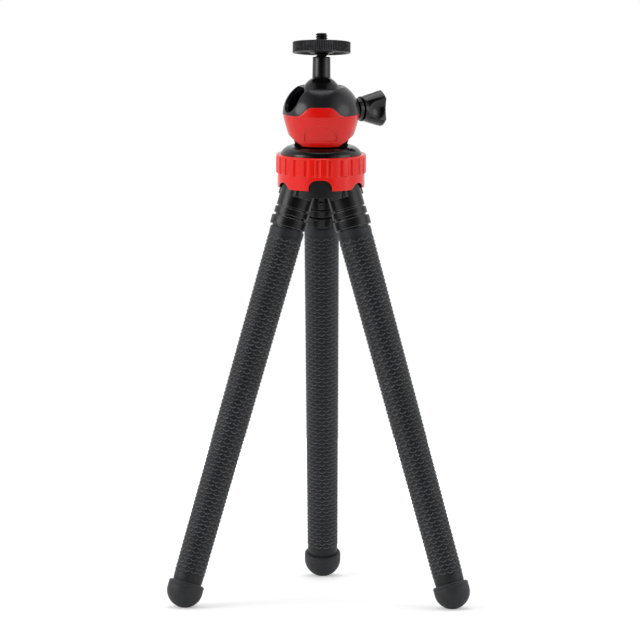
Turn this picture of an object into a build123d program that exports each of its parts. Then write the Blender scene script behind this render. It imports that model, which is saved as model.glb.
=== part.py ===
from build123d import *
import os
from math import cos, radians, sin, sqrt

# Flexible leg tripod with a ball head, standing on its three splayed legs.
# Units are millimetres. +Z is up, the floor is Z = 0, and -Y faces the viewer.
# The box round the whole tripod is centred on the origin in X and Y.

os.makedirs("parts", exist_ok=True)

# Stance
splay = 18.0                # lean of each leg from the vertical, in degrees
pivot_radius = 11.5         # hinge pivots from the tripod's axis
leg_length = 221.6          # hinge pivot to the centre of the foot's ball
leg_azimuths = {"left": 210.0, "right": 330.0, "back": 90.0}
leg_pitch = 120.0

# Clearances
fit_gap = 0.05              # between fixed pieces that fit together
run_gap = 0.1               # between a shaft and what turns on it
ball_gap = 0.2              # round the ball
joint_gap = 0.3             # between the parts of a bending leg
overrun = 2.0               # how far a cutting shape passes a face

# Legs, measured down the leg from the hinge pivot
collar_radius = 9.0
collar_top_radius = 7.0
collar_top = 4.0            # above the pivot
collar_shoulder = 3.5       # where the collar reaches its full radius
collar_end = 15.8
cheek_half_width = 9.2      # the collar's two flat cheeks, either side of the hinge
cheek_outward = 6.3
cheek_inward = 3.5
cheek_top = 1.0             # above the pivot
cheek_end = 10.0
spigot_radius = 8.2
band_radius = 9.3
band_start = 16.6
band_length = 3.5
ferrule_radius = 9.75
ferrule_start = 21.3
ferrule_length = 4.8
sleeve_top_radius = 8.9
sleeve_foot_radius = 7.7
sleeve_start = 27.0
sleeve_tuck = 5.0           # length of sleeve inside the foot
bend_count = 3              # bends, evenly spread along the sleeve
bend_rim_height = 5.6       # from a bend's centre up to the rim of its cup
core_radius = 3.5
core_start = 6.0
core_setback = 2.0          # from a cup to the end of the core above it
core_tip_share = 0.45       # how far a core reaches into a dome, as a share of its radius
foot_radius = 9.35
foot_brim = 4.1             # straight part of the foot above its ball
foot_flat = 0.3             # depth of the worn flat under the foot

# Hub, measured up and down from the hinge pivots
hub_radius = 20.9
hub_drop = 8.3
slot_gap = 0.4
slot_rise = 6.8
flange_seat = 11.5
pin_radius = 1.5
pin_half_length = 12.0
ring_radius = 23.4
skirt_radius = 22.6
skirt_drop = 4.4
skirt_height = 7.1
rib_height = 10.0
ring_chamfer = 0.5
rib_count = 24
rib_phase = 11.65           # azimuth of one groove, in degrees
groove_radius = 2.2
groove_depth = 0.75
arch_width = 12.2
arch_height = 5.6
arch_corner = 4.4
notch_gap = 1.2             # round each collar where the ring's skirt clears it
flange_radius = 20.8
flange_edge = 2.0
flange_height = 5.5
flange_top_radius = 14.8
flange_bulge = (18.3, 4.55) # radius and height of a point on its dome
hub_screw_radius = 1.5
hub_screw_head_radius = 2.75
hub_screw_head_height = 2.0
hub_screw_circle = 16.4
hub_screw_reach = 3.0       # thread in the flange
stud_radius = 3.0
stud_head_radius = 5.5
stud_head_height = 2.5
washer_inset = 1.3          # from the rim of the housing's base
washer_thickness = 0.7

# Ball housing, measured up from its base
housing_radius = 20.1
housing_height = 30.0
housing_base_radius = 15.3
housing_rim_radius = 12.3
housing_equator = 16.0
housing_belly = (17.8, 7.2)
housing_shoulder = (17.4, 24.9)
opening_radius = 9.5
shell_wall = 1.8
rim_land = 1.0              # flat width of the rim outside its countersink
rim_sink = 0.8
parting_gap = 0.12
hump_height = 4.9
hump_half_width = 13.4
hump_top_half_width = 4.0
side_arch_height = 5.4
side_arch_half_width = 12.2
badge_half_width = 8.7
badge_bottom = 3.0
badge_top = 11.2
badge_corner = 6.5
badge_depth = 0.5
notch_width = 12.2
notch_bottom = 17.3
notch_relief = 1.2          # the metal core's slot is this much wider on each side
core_height = 24.0
pocket_floor = 10.2
stud_pocket_floor = 5.9
stud_pocket_radius = 6.0
seat_radius = 8.0
seat_bore = 4.2
seat_height = 8.8
shell_screw_radius = 1.25
shell_screw_head_radius = 2.2
shell_screw_head_height = 1.4
shell_screw_circle = 10.6
shell_screw_count = 2
shell_screw_azimuth = 150.0
shell_screw_length = 7.0

# Ball, stem and camera platform, measured up the stem from the ball's centre
ball_radius = 10.3
ball_height = 25.2          # of the ball's centre above the housing's base
stem_lean = 11.5            # backwards, in degrees
stem_foot_radius = 4.75
stem_top_radius = 4.6
stem_top = 20.0
spigot_pin_radius = 3.0
spigot_pin_bottom = 3.0
screw_radius = 3.175        # quarter inch camera thread
screw_start = 13.5
screw_shank_radius = 3.0    # below the platform, inside its insert
screw_tip = 32.45
screw_chamfer = 0.6
disc_radius = 15.05
disc_start = 22.2
disc_top = 27.9
disc_chamfer = 0.2
disc_recess = 1.2           # depth of the hollow under the disc
disc_rim = 1.4              # width of the rim round that hollow
disc_hub_radius = 6.2
tooth_count = 100
tooth_depth = 0.4
pad_radius = 13.9
pad_thickness = 0.6
pad_inset = 0.5             # how deep the pad lies in the disc's top
insert_radius = 5.0
insert_cone = 0.8           # height of its cone under the disc
insert_tip_radius = 3.6

# Clamp, measured out along its axis from the housing's axis
clamp_height = 17.0         # above the housing's base
clamp_azimuth = 30.0
shoe_radius = 3.6
shoe_start = 4.6
shoe_end = 13.6
clamp_screw_radius = 2.5
clamp_screw_end = 31.8
bush_radius = 4.1
bush_start = 14.7
bush_flange_radius = 5.65
bush_flange_start = 20.6
bush_end = 22.8
knob_start = 23.4
knob_base_radius = 6.5
knob_base_length = 1.4
knob_radius = 9.6
knob_end = 34.8
knob_edge = 0.7
knob_flare_share = 0.75     # place of its widest flare along its length
lobe_count = 3
scoop_phase = 60.0          # of the first scoop, in degrees from the level
scoop_radius = 20.0
scoop_floor_radius = 6.3
dish_radius = 8.0
dish_floor_radius = 5.1
dish_place = 29.8

# Places that follow from the sizes
foot_circle = pivot_radius + leg_length * sin(radians(splay))
pivot_height = leg_length * cos(radians(splay)) + foot_radius - foot_flat
axis_y = -foot_circle / 4
foot_start = leg_length - foot_brim
bend_pitch = (foot_start - sleeve_start) / (bend_count + 1)
bend_places = [sleeve_start + bend_pitch * turn for turn in range(1, bend_count + 1)]
housing_base = pivot_height + flange_seat + flange_height + washer_thickness + run_gap
notch_azimuth = clamp_azimuth + 180


def bearing(azimuth, height=0.0):
    """A level direction at an azimuth in degrees, with its height."""
    return Vector(cos(radians(azimuth)), sin(radians(azimuth)), height)


def side_of(frame):
    """The plane through a frame's axis: sketch X is the radius and sketch Y runs along the axis."""
    return Plane(origin=frame.origin, x_dir=frame.x_dir, z_dir=-frame.y_dir)


def axis_of(frame):
    """A frame's own Z axis."""
    return Axis(frame.origin, frame.z_dir)


def upright(height):
    """The level plane on the tripod's axis at a height."""
    return Plane(origin=(0, axis_y, height))


def facing(azimuth, height):
    """The plane on the tripod's axis that faces an azimuth, with sketch Y upwards."""
    return Plane(origin=(0, axis_y, height), x_dir=bearing(azimuth + 90), z_dir=bearing(azimuth))


def leg_frame(azimuth):
    """A frame at a leg's hinge pivot: Z runs down the leg and X leans outwards."""
    out = bearing(azimuth)
    up = Vector(0, 0, 1)
    pivot = Vector(0, axis_y, pivot_height) + out * pivot_radius
    down_leg = out * sin(radians(splay)) - up * cos(radians(splay))
    outwards = out * cos(radians(splay)) + up * sin(radians(splay))
    return Plane(origin=pivot, x_dir=outwards, z_dir=down_leg)


def hinge_plane(frame):
    """The plane across a leg's hinge pin, through the pivot."""
    return Plane(origin=frame.origin, x_dir=frame.x_dir, z_dir=frame.y_dir)


hub_frame = upright(pivot_height)
housing_frame = upright(housing_base)
ball_centre = Vector(0, axis_y, housing_base + ball_height)
stem_direction = Vector(0, sin(radians(stem_lean)), cos(radians(stem_lean)))
stem_frame = Plane(origin=ball_centre, x_dir=(1, 0, 0), z_dir=stem_direction)
clamp_frame = facing(clamp_azimuth, housing_base + clamp_height)
leg_frames = {side: leg_frame(azimuth) for side, azimuth in leg_azimuths.items()}
web_azimuth = leg_azimuths["back"] - leg_pitch / 2


def save(piece, name):
    """Label a finished piece and write its file."""
    piece.part.label = name
    export_step(piece.part, f"parts/{name}.step")


def turned(frame, outline):
    """A solid turned about a frame's axis, from points of radius and place along the axis."""
    with BuildPart() as solid:
        with BuildSketch(side_of(frame)):
            with BuildLine():
                Polyline(*outline, close=True)
            make_face()
        revolve(axis=axis_of(frame))
    return solid


def ring(frame, bore, radius, start, length):
    """A plain turned ring."""
    return turned(frame, [(bore, start), (radius, start), (radius, start + length), (bore, start + length)])


def bore_out(frame, radius, start, end):
    """Cut a round hole along a frame's axis in the part in hand."""
    with BuildSketch(frame.offset(start)) as hole:
        Circle(radius)
    extrude(hole.sketch, amount=end - start, mode=Mode.SUBTRACT)


def cut_ball(radius):
    """Cut a ball about the ball's centre from the part in hand."""
    with BuildSketch(side_of(stem_frame)) as half:
        with BuildLine():
            Line((0, -radius), (0, radius))
            ThreePointArc((0, radius), (radius, 0), (0, -radius))
        make_face()
    revolve(half.sketch, axis=axis_of(stem_frame), mode=Mode.SUBTRACT)


# Hub body: a thick plate with three webs hanging between the legs
with BuildPart() as hub_body:
    with BuildSketch(hub_frame.offset(-hub_drop)):
        Circle(hub_radius)
    extrude(amount=hub_drop + flange_seat)
    slot_length = hub_radius + overrun
    with BuildSketch(hub_frame.offset(-hub_drop - overrun)):
        with PolarLocations(slot_length / 2, len(leg_azimuths), start_angle=leg_azimuths["back"]):
            Rectangle(slot_length, 2 * (cheek_half_width + slot_gap))
    extrude(amount=hub_drop + overrun + slot_rise, mode=Mode.SUBTRACT)
    for frame in leg_frames.values():
        with BuildSketch(hinge_plane(frame)):
            Circle(pin_radius + fit_gap)
        extrude(amount=pin_half_length + fit_gap, both=True, mode=Mode.SUBTRACT)
    bore_out(hub_frame, stud_radius + fit_gap, 0, flange_seat + overrun)
    with BuildSketch(hub_frame.offset(-hub_drop)):
        with PolarLocations(hub_screw_circle, len(leg_azimuths), start_angle=web_azimuth):
            Circle(hub_screw_radius + fit_gap)
    extrude(amount=hub_drop + flange_seat, mode=Mode.SUBTRACT)
    with BuildSketch(hub_frame.offset(-hub_drop)):
        with PolarLocations(hub_screw_circle, len(leg_azimuths), start_angle=web_azimuth):
            Circle(hub_screw_head_radius + fit_gap)
    extrude(amount=hub_screw_head_height, mode=Mode.SUBTRACT)
save(hub_body, "hub_body")

# Screws that hold the flange down on the hub body
with BuildPart() as hub_screws:
    with BuildSketch(hub_frame.offset(-hub_drop)):
        with PolarLocations(hub_screw_circle, len(leg_azimuths), start_angle=web_azimuth):
            Circle(hub_screw_head_radius)
    extrude(amount=hub_screw_head_height)
    with BuildSketch(hub_frame.offset(-hub_drop)):
        with PolarLocations(hub_screw_circle, len(leg_azimuths), start_angle=web_azimuth):
            Circle(hub_screw_radius)
    extrude(amount=hub_drop + flange_seat + hub_screw_reach)
save(hub_screws, "hub_screws")

# One hinge pin for each leg
with BuildPart() as hinge_pins:
    for frame in leg_frames.values():
        with BuildSketch(hinge_plane(frame)):
            Circle(pin_radius)
        extrude(amount=pin_half_length, both=True)
save(hinge_pins, "hinge_pins")

# Domed flange on top of the hub
with BuildPart() as hub_flange:
    with BuildSketch(side_of(hub_frame.offset(flange_seat))):
        with BuildLine():
            Polyline((flange_top_radius, flange_height), (stud_radius + fit_gap, flange_height),
                     (stud_radius + fit_gap, 0), (flange_radius, 0), (flange_radius, flange_edge))
            ThreePointArc((flange_radius, flange_edge), flange_bulge, (flange_top_radius, flange_height))
        make_face()
    revolve(axis=axis_of(hub_frame))
    with BuildSketch(hub_frame.offset(flange_seat)):
        with PolarLocations(hub_screw_circle, len(leg_azimuths), start_angle=web_azimuth):
            Circle(hub_screw_radius + fit_gap)
    extrude(amount=hub_screw_reach + fit_gap, mode=Mode.SUBTRACT)
save(hub_flange, "hub_flange")

# Ribbed ring round the hub, with arches over the webs and a notch round each collar
skirt_top = skirt_height - skirt_drop
ring_top = skirt_top + rib_height
with BuildPart() as grip_ring:
    with BuildSketch(side_of(hub_frame)):
        with BuildLine():
            Polyline((hub_radius + fit_gap, -skirt_drop), (skirt_radius, -skirt_drop),
                     (skirt_radius, skirt_top), (ring_radius, skirt_top + ring_chamfer),
                     (ring_radius, ring_top - ring_chamfer), (ring_radius - ring_chamfer, ring_top),
                     (hub_radius + fit_gap, ring_top), close=True)
        make_face()
    revolve(axis=axis_of(hub_frame))
    with BuildSketch(hub_frame.offset(skirt_top)):
        with PolarLocations(ring_radius - groove_depth + groove_radius, rib_count, start_angle=rib_phase):
            Circle(groove_radius)
    extrude(amount=rib_height - 2 * ring_chamfer, mode=Mode.SUBTRACT)
    for azimuth in leg_azimuths.values():
        with BuildSketch(facing(azimuth + leg_pitch / 2, pivot_height - skirt_drop)):
            RectangleRounded(arch_width, 2 * arch_height, arch_corner)
        extrude(amount=ring_radius + overrun, mode=Mode.SUBTRACT)
    for frame in leg_frames.values():
        bore_out(frame, collar_radius + notch_gap, -collar_top, collar_end)
        with BuildSketch(frame.offset(-cheek_top - slot_gap)):
            with Locations(((cheek_outward - cheek_inward) / 2, 0)):
                Rectangle(cheek_outward + cheek_inward + 2 * slot_gap, 2 * (cheek_half_width + slot_gap))
        extrude(amount=cheek_end + cheek_top + 2 * slot_gap, mode=Mode.SUBTRACT)
save(grip_ring, "grip_ring")

# Stud that carries the head, with its own head inside the housing
stud_head_base = washer_thickness + run_gap + stud_pocket_floor + run_gap
with BuildPart() as hub_stud:
    with BuildSketch(hub_frame.offset(slot_rise)):
        Circle(stud_radius)
    extrude(amount=flange_seat + flange_height - slot_rise + stud_head_base)
    with BuildSketch(hub_frame.offset(flange_seat + flange_height + stud_head_base)):
        RegularPolygon(stud_head_radius, 6)
    extrude(amount=stud_head_height)
save(hub_stud, "hub_stud")

save(ring(hub_frame, stud_radius + run_gap, housing_base_radius - washer_inset,
          flange_seat + flange_height, washer_thickness),
     "swivel_washer")


def housing_form():
    """Add the turned outer form of the ball housing to the part in hand."""
    with BuildSketch(side_of(housing_frame)) as half:
        with BuildLine():
            Polyline((housing_rim_radius, housing_height), (0, housing_height), (0, 0),
                     (housing_base_radius, 0))
            ThreePointArc((housing_base_radius, 0), housing_belly, (housing_radius, housing_equator))
            ThreePointArc((housing_radius, housing_equator), housing_shoulder,
                          (housing_rim_radius, housing_height))
        make_face()
    revolve(half.sketch, axis=axis_of(housing_frame))


def housing_hollow(inset, top, mode):
    """Add or cut the housing's form drawn in by an inset, up to a flat top, open at the base."""
    with BuildSketch(side_of(housing_frame)) as half:
        with BuildLine():
            Polyline((opening_radius, housing_height - inset), (opening_radius, housing_height + overrun),
                     (0, housing_height + overrun), (0, -overrun),
                     (housing_base_radius - inset, -overrun), (housing_base_radius - inset, 0))
            ThreePointArc((housing_base_radius - inset, 0), (housing_belly[0] - inset, housing_belly[1]),
                          (housing_radius - inset, housing_equator))
            ThreePointArc((housing_radius - inset, housing_equator),
                          (housing_shoulder[0] - inset, housing_shoulder[1] - inset / 2),
                          (opening_radius, housing_height - inset))
        make_face()
        if top < housing_height:
            with Locations((housing_radius / 2, top)):
                Rectangle(housing_radius + 2 * overrun, housing_height, align=(Align.CENTER, Align.MIN),
                          mode=Mode.SUBTRACT)
            with Locations((housing_radius / 2, 0)):
                Rectangle(housing_radius + 2 * overrun, housing_height, align=(Align.CENTER, Align.MAX),
                          mode=Mode.SUBTRACT)
    revolve(half.sketch, axis=axis_of(housing_frame), mode=mode)


def below_parting(lift, mode):
    """Keep or cut everything below the line between the two shells, which rises in front and behind."""
    reach = housing_radius + overrun
    line = housing_equator + lift
    with BuildSketch(side_of(housing_frame)) as zone:
        with BuildLine():
            Polyline((-hump_half_width, line), (-reach, line), (-reach, -overrun), (reach, -overrun),
                     (reach, line), (hump_half_width, line))
            Spline((hump_half_width, line), (hump_top_half_width, line + hump_height),
                   tangents=((-1, 0), (-1, 0)))
            Line((hump_top_half_width, line + hump_height), (-hump_top_half_width, line + hump_height))
            Spline((-hump_top_half_width, line + hump_height), (-hump_half_width, line),
                   tangents=((-1, 0), (-1, 0)))
        make_face()
    extrude(zone.sketch, amount=reach, both=True, mode=mode)


def stem_notch(gap=0.0):
    """Cut the slot that lets the stem swing down to one side."""
    with BuildSketch(facing(notch_azimuth, housing_base)) as slot:
        with Locations((0, notch_bottom + notch_width / 2)):
            Circle(notch_width / 2 + gap)
            Rectangle(notch_width + 2 * gap, housing_height, align=(Align.CENTER, Align.MIN))
    extrude(slot.sketch, amount=housing_radius + overrun, mode=Mode.SUBTRACT)


def shell_screw_places(radius, start, length, mode):
    """Add or cut the round form of the two shell screws, which rise from the base."""
    with BuildSketch(housing_frame.offset(start)) as rounds:
        with PolarLocations(shell_screw_circle, shell_screw_count, start_angle=shell_screw_azimuth):
            Circle(radius)
    extrude(rounds.sketch, amount=length, mode=mode)


# The lower shell: an arch on each side of its foot and a bare recessed badge in front
with BuildPart() as lower_shell:
    housing_form()
    housing_hollow(shell_wall, housing_height, Mode.SUBTRACT)
    below_parting(0, Mode.INTERSECT)
    stem_notch()
    bore_out(clamp_frame, bush_radius + fit_gap, 0, housing_radius + overrun)
    with BuildSketch(Plane(origin=housing_frame.origin, x_dir=(0, 1, 0), z_dir=(1, 0, 0))):
        with BuildLine():
            Polyline((-side_arch_half_width, 0), (-side_arch_half_width, -overrun),
                     (side_arch_half_width, -overrun), (side_arch_half_width, 0))
            ThreePointArc((side_arch_half_width, 0), (0, side_arch_height), (-side_arch_half_width, 0))
        make_face()
    extrude(amount=housing_radius + overrun, both=True, mode=Mode.SUBTRACT)

with BuildPart() as badge_recess:
    housing_form()
    housing_hollow(badge_depth, housing_height, Mode.SUBTRACT)
    badge_height = badge_top - badge_bottom
    with BuildSketch(Plane(origin=housing_frame.origin, x_dir=(1, 0, 0), z_dir=(0, -1, 0))):
        with Locations((0, badge_bottom)):
            RectangleRounded(2 * badge_half_width, 2 * badge_height, badge_corner)
        with Locations((0, badge_bottom)):
            Rectangle(2 * badge_half_width, 2 * badge_height, align=(Align.CENTER, Align.MAX),
                      mode=Mode.SUBTRACT)
    extrude(amount=housing_radius + overrun, mode=Mode.INTERSECT)

with BuildPart() as lower_shell_cut:
    add(lower_shell.part)
    add(badge_recess.part, mode=Mode.SUBTRACT)
save(lower_shell_cut, "lower_shell")

# The upper shell: the cap round the ball
with BuildPart() as upper_shell:
    housing_form()
    housing_hollow(shell_wall, housing_height, Mode.SUBTRACT)
    cut_ball(ball_radius + joint_gap)
    with BuildSketch(side_of(housing_frame)) as sink:
        with BuildLine():
            Polyline((0, housing_height - rim_sink), (opening_radius, housing_height - rim_sink),
                     (housing_rim_radius - rim_land, housing_height),
                     (housing_rim_radius - rim_land, housing_height + overrun),
                     (0, housing_height + overrun), close=True)
        make_face()
    revolve(sink.sketch, axis=axis_of(housing_frame), mode=Mode.SUBTRACT)
    below_parting(parting_gap, Mode.SUBTRACT)
    stem_notch()
    bore_out(clamp_frame, bush_radius + fit_gap, 0, housing_radius + overrun)
save(upper_shell, "upper_shell")

# The metal core that the shells are fixed to: it turns on the stud and holds the ball
with BuildPart() as head_core:
    housing_hollow(shell_wall + fit_gap, core_height, Mode.ADD)
    cut_ball(ball_radius + joint_gap)
    bore_out(housing_frame, stud_radius + run_gap, -overrun, core_height)
    bore_out(housing_frame, stud_pocket_radius, stud_pocket_floor, core_height)
    bore_out(housing_frame, seat_radius + fit_gap, pocket_floor, core_height)
    stem_notch(notch_relief)
    bore_out(clamp_frame, shoe_radius + run_gap, 0, housing_radius)
    bore_out(clamp_frame, bush_radius + fit_gap, bush_start, housing_radius)
    shell_screw_places(shell_screw_radius + fit_gap, 0, shell_screw_length + fit_gap, Mode.SUBTRACT)
    shell_screw_places(shell_screw_head_radius + fit_gap, 0, shell_screw_head_height, Mode.SUBTRACT)
save(head_core, "head_core")

with BuildPart() as shell_screws:
    shell_screw_places(shell_screw_head_radius, 0, shell_screw_head_height, Mode.ADD)
    shell_screw_places(shell_screw_radius, 0, shell_screw_length, Mode.ADD)
save(shell_screws, "shell_screws")

# Seat cup under the ball, open on the side where the shoe comes in
with BuildPart() as ball_seat:
    with BuildSketch(housing_frame.offset(pocket_floor)):
        Circle(seat_radius)
        Circle(seat_bore, mode=Mode.SUBTRACT)
    extrude(amount=seat_height)
    cut_ball(ball_radius + ball_gap)
    bore_out(clamp_frame, shoe_radius + joint_gap, 0, housing_radius)
save(ball_seat, "ball_seat")

# Shoe that the clamp screw presses against the ball
with BuildPart() as pressure_shoe:
    with BuildSketch(clamp_frame.offset(shoe_start)):
        Circle(shoe_radius)
    extrude(amount=shoe_end - shoe_start)
    cut_ball(ball_radius + joint_gap)
save(pressure_shoe, "pressure_shoe")

with BuildPart() as clamp_screw:
    with BuildSketch(clamp_frame.offset(shoe_end + fit_gap)):
        Circle(clamp_screw_radius)
    extrude(amount=clamp_screw_end - shoe_end - fit_gap)
save(clamp_screw, "clamp_screw")

save(turned(clamp_frame, [(clamp_screw_radius + run_gap, bush_start), (bush_radius, bush_start),
                          (bush_radius, bush_flange_start), (bush_flange_radius, bush_flange_start),
                          (bush_flange_radius, bush_end), (clamp_screw_radius + run_gap, bush_end)]),
     "clamp_bush")

# Three-lobed knob that flares outwards, with a finger dish between its lobes
scoop_angles = [scoop_phase + 360 / lobe_count * turn for turn in range(lobe_count)]
with BuildPart() as clamp_knob:
    knob_flare = knob_start + knob_flare_share * (knob_end - knob_start)
    with BuildSketch(side_of(clamp_frame)):
        with BuildLine():
            Polyline((0, knob_start), (knob_base_radius, knob_start),
                     (knob_base_radius, knob_start + knob_base_length), (knob_radius - knob_edge, knob_flare),
                     (knob_radius, knob_end - knob_edge), (knob_radius - knob_edge, knob_end),
                     (0, knob_end), close=True)
        make_face()
    revolve(axis=axis_of(clamp_frame))
    with BuildSketch(clamp_frame.offset(knob_start + knob_base_length)):
        with PolarLocations(scoop_floor_radius + scoop_radius, lobe_count, start_angle=scoop_angles[0]):
            Circle(scoop_radius)
    extrude(amount=knob_end, mode=Mode.SUBTRACT)
    for angle in scoop_angles:
        reach = dish_floor_radius + dish_radius
        centre = clamp_frame.from_local_coords((reach * cos(radians(angle)), reach * sin(radians(angle)),
                                                dish_place))
        with BuildSketch(Plane(origin=centre, x_dir=clamp_frame.x_dir, z_dir=-clamp_frame.y_dir)):
            with BuildLine():
                Line((0, -dish_radius), (0, dish_radius))
                ThreePointArc((0, dish_radius), (dish_radius, 0), (0, -dish_radius))
            make_face()
        revolve(axis=Axis(centre, clamp_frame.z_dir), mode=Mode.SUBTRACT)
    bore_out(clamp_frame, clamp_screw_radius + fit_gap, knob_start - overrun, clamp_screw_end + fit_gap)
save(clamp_knob, "clamp_knob")

# Ball, flattened where the stem stands on it
ball_flat = sqrt(ball_radius ** 2 - stem_foot_radius ** 2)
with BuildPart() as ball:
    with BuildSketch(side_of(stem_frame)):
        with BuildLine():
            Polyline((stem_foot_radius, ball_flat), (0, ball_flat), (0, -ball_radius))
            ThreePointArc((0, -ball_radius), (ball_radius, 0), (stem_foot_radius, ball_flat))
        make_face()
    revolve(axis=axis_of(stem_frame))
    bore_out(stem_frame, spigot_pin_radius + run_gap, spigot_pin_bottom, ball_radius)
save(ball, "ball")

save(turned(stem_frame, [(0, spigot_pin_bottom + fit_gap), (spigot_pin_radius, spigot_pin_bottom + fit_gap),
                         (spigot_pin_radius, ball_flat + fit_gap),
                         (stem_foot_radius, ball_flat + fit_gap),
                         (stem_top_radius, stem_top), (screw_shank_radius + fit_gap, stem_top),
                         (screw_shank_radius + fit_gap, screw_start - fit_gap), (0, screw_start - fit_gap)]),
     "stem")

platform_top = disc_top - pad_inset + pad_thickness
save(turned(stem_frame, [(0, screw_start), (screw_shank_radius, screw_start),
                         (screw_shank_radius, platform_top), (screw_radius, platform_top),
                         (screw_radius, screw_tip - screw_chamfer),
                         (screw_radius - screw_chamfer, screw_tip), (0, screw_tip)]),
     "camera_screw")

# Knurled platform disc: a threaded insert climbs the screw, and the disc and its pad turn with the hand
disc_length = disc_top - disc_start
insert_start = disc_start - insert_cone
save(turned(stem_frame, [(screw_radius + run_gap, insert_start), (insert_tip_radius, insert_start),
                         (insert_radius, disc_start), (insert_radius, disc_top),
                         (screw_radius + run_gap, disc_top)]),
     "disc_insert")

with BuildPart() as lock_disc:
    with BuildSketch(side_of(stem_frame)):
        with BuildLine():
            Polyline((insert_radius + run_gap, disc_start), (disc_hub_radius, disc_start),
                     (disc_hub_radius + disc_recess, disc_start + disc_recess),
                     (disc_radius - disc_rim - disc_recess, disc_start + disc_recess),
                     (disc_radius - disc_rim, disc_start), (disc_radius - disc_chamfer, disc_start),
                     (disc_radius, disc_start + disc_chamfer), (disc_radius, disc_top - disc_chamfer),
                     (disc_radius - disc_chamfer, disc_top), (pad_radius + fit_gap, disc_top),
                     (pad_radius + fit_gap, disc_top - pad_inset),
                     (insert_radius + run_gap, disc_top - pad_inset), close=True)
        make_face()
    revolve(axis=axis_of(stem_frame))
    with BuildSketch(stem_frame.offset(disc_start + disc_chamfer)):
        with PolarLocations(disc_radius, tooth_count):
            RegularPolygon(tooth_depth, 4)
    extrude(amount=disc_length - 2 * disc_chamfer, mode=Mode.SUBTRACT)
save(lock_disc, "lock_disc")

save(ring(stem_frame, insert_radius + run_gap, pad_radius, disc_top - pad_inset, pad_thickness), "disc_pad")


def sleeve_radius(place):
    """The rubber sleeve's radius at a place down the leg."""
    share = (place - sleeve_start) / (foot_start + sleeve_tuck - sleeve_start)
    return sleeve_top_radius + share * (sleeve_foot_radius - sleeve_top_radius)


def sleeve(frame, index):
    """One length of the leg: domed at its top and cupped at its bottom where the leg bends."""
    core_bore = core_radius + fit_gap
    with BuildPart() as piece:
        with BuildSketch(side_of(frame)):
            with BuildLine():
                if index == 0:
                    top = sleeve_start
                    Line((0, top), (sleeve_radius(top), top))
                    side_start = (sleeve_radius(top), top)
                    axis_start = (0, top)
                else:
                    bend = bend_places[index - 1]
                    dome = sleeve_radius(bend)
                    ThreePointArc((0, bend - dome),
                                  (dome * sin(radians(45)), bend - dome * cos(radians(45))),
                                  (dome, bend))
                    side_start = (dome, bend)
                    axis_start = (0, bend - dome)
                if index == len(bend_places):
                    foot_end = foot_start + sleeve_tuck
                    Polyline(side_start, (sleeve_radius(foot_end), foot_end), (0, foot_end), axis_start)
                else:
                    bend = bend_places[index]
                    cup = sleeve_radius(bend) + joint_gap
                    rim = bend - bend_rim_height
                    rim_radius = sqrt(cup ** 2 - bend_rim_height ** 2)
                    Polyline(side_start, (sleeve_radius(rim), rim), (rim_radius, rim))
                    rim_rise = bend_rim_height / cup
                    ThreePointArc((rim_radius, rim),
                                  (cup * sqrt((1 - rim_rise) / 2), bend - cup * sqrt((1 + rim_rise) / 2)),
                                  (0, bend - cup))
                    Line((0, bend - cup), axis_start)
            make_face()
        revolve(axis=axis_of(frame))
        bore_out(frame, core_bore, core_top(index) - fit_gap, core_bottom(index) + fit_gap)
    return piece


def core_top(index):
    """Where a length of core begins."""
    if index == 0:
        return core_start
    bend = bend_places[index - 1]
    return bend - core_tip_share * sleeve_radius(bend)


def core_bottom(index):
    """Where a length of core ends."""
    if index == len(bend_places):
        return foot_start + sleeve_tuck - fit_gap
    bend = bend_places[index]
    return bend - sleeve_radius(bend) - joint_gap - core_setback


def collar(frame):
    """The socket at the top of a leg, with two flat cheeks and the bore of its hinge."""
    with BuildPart() as piece:
        with BuildSketch(side_of(frame)):
            with BuildLine():
                Polyline((0, -collar_top), (collar_top_radius, -collar_top),
                         (collar_radius, collar_shoulder), (collar_radius, collar_end),
                         (spigot_radius, collar_end),
                         (spigot_radius, sleeve_start - fit_gap), (0, sleeve_start - fit_gap), close=True)
            make_face()
        revolve(axis=axis_of(frame))
        with BuildSketch(frame.offset(-cheek_top)):
            with Locations(((cheek_outward - cheek_inward) / 2, 0)):
                RectangleRounded(cheek_outward + cheek_inward, 2 * cheek_half_width, cheek_top)
        extrude(amount=cheek_end + cheek_top)
        with BuildSketch(hinge_plane(frame)):
            Circle(pin_radius + run_gap)
        extrude(amount=pin_half_length, both=True, mode=Mode.SUBTRACT)
        bore_out(frame, core_radius + fit_gap, core_start - fit_gap, sleeve_start)
    return piece


def foot_cap(frame):
    """The rubber foot: a short brim over the sleeve and a ball with a worn flat."""
    tuck_bore = sleeve_foot_radius + fit_gap
    with BuildPart() as piece:
        with BuildSketch(side_of(frame)):
            with BuildLine():
                Polyline((0, leg_length + foot_radius), (0, foot_start), (foot_radius, foot_start),
                         (foot_radius, leg_length))
                ThreePointArc((foot_radius, leg_length),
                              (foot_radius * sin(radians(45)), leg_length + foot_radius * cos(radians(45))),
                              (0, leg_length + foot_radius))
            make_face()
        revolve(axis=axis_of(frame))
        bore_out(frame, tuck_bore, foot_start, foot_start + sleeve_tuck + fit_gap)
        split(bisect_by=Plane.XY, keep=Keep.TOP)
    return piece


# The three legs
for side, frame in leg_frames.items():
    save(collar(frame), f"{side}_collar")
    save(ring(frame, spigot_radius + fit_gap, band_radius, band_start, band_length), f"{side}_band")
    save(ring(frame, spigot_radius + fit_gap, ferrule_radius, ferrule_start, ferrule_length),
         f"{side}_ferrule")
    for index in range(len(bend_places) + 1):
        save(sleeve(frame, index), f"{side}_sleeve_{index + 1}")
        length = core_bottom(index) - core_top(index)
        with BuildPart() as core:
            with BuildSketch(frame.offset(core_top(index))):
                Circle(core_radius)
            extrude(amount=length)
        save(core, f"{side}_core_{index + 1}")
    save(foot_cap(frame), f"{side}_foot")
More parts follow.
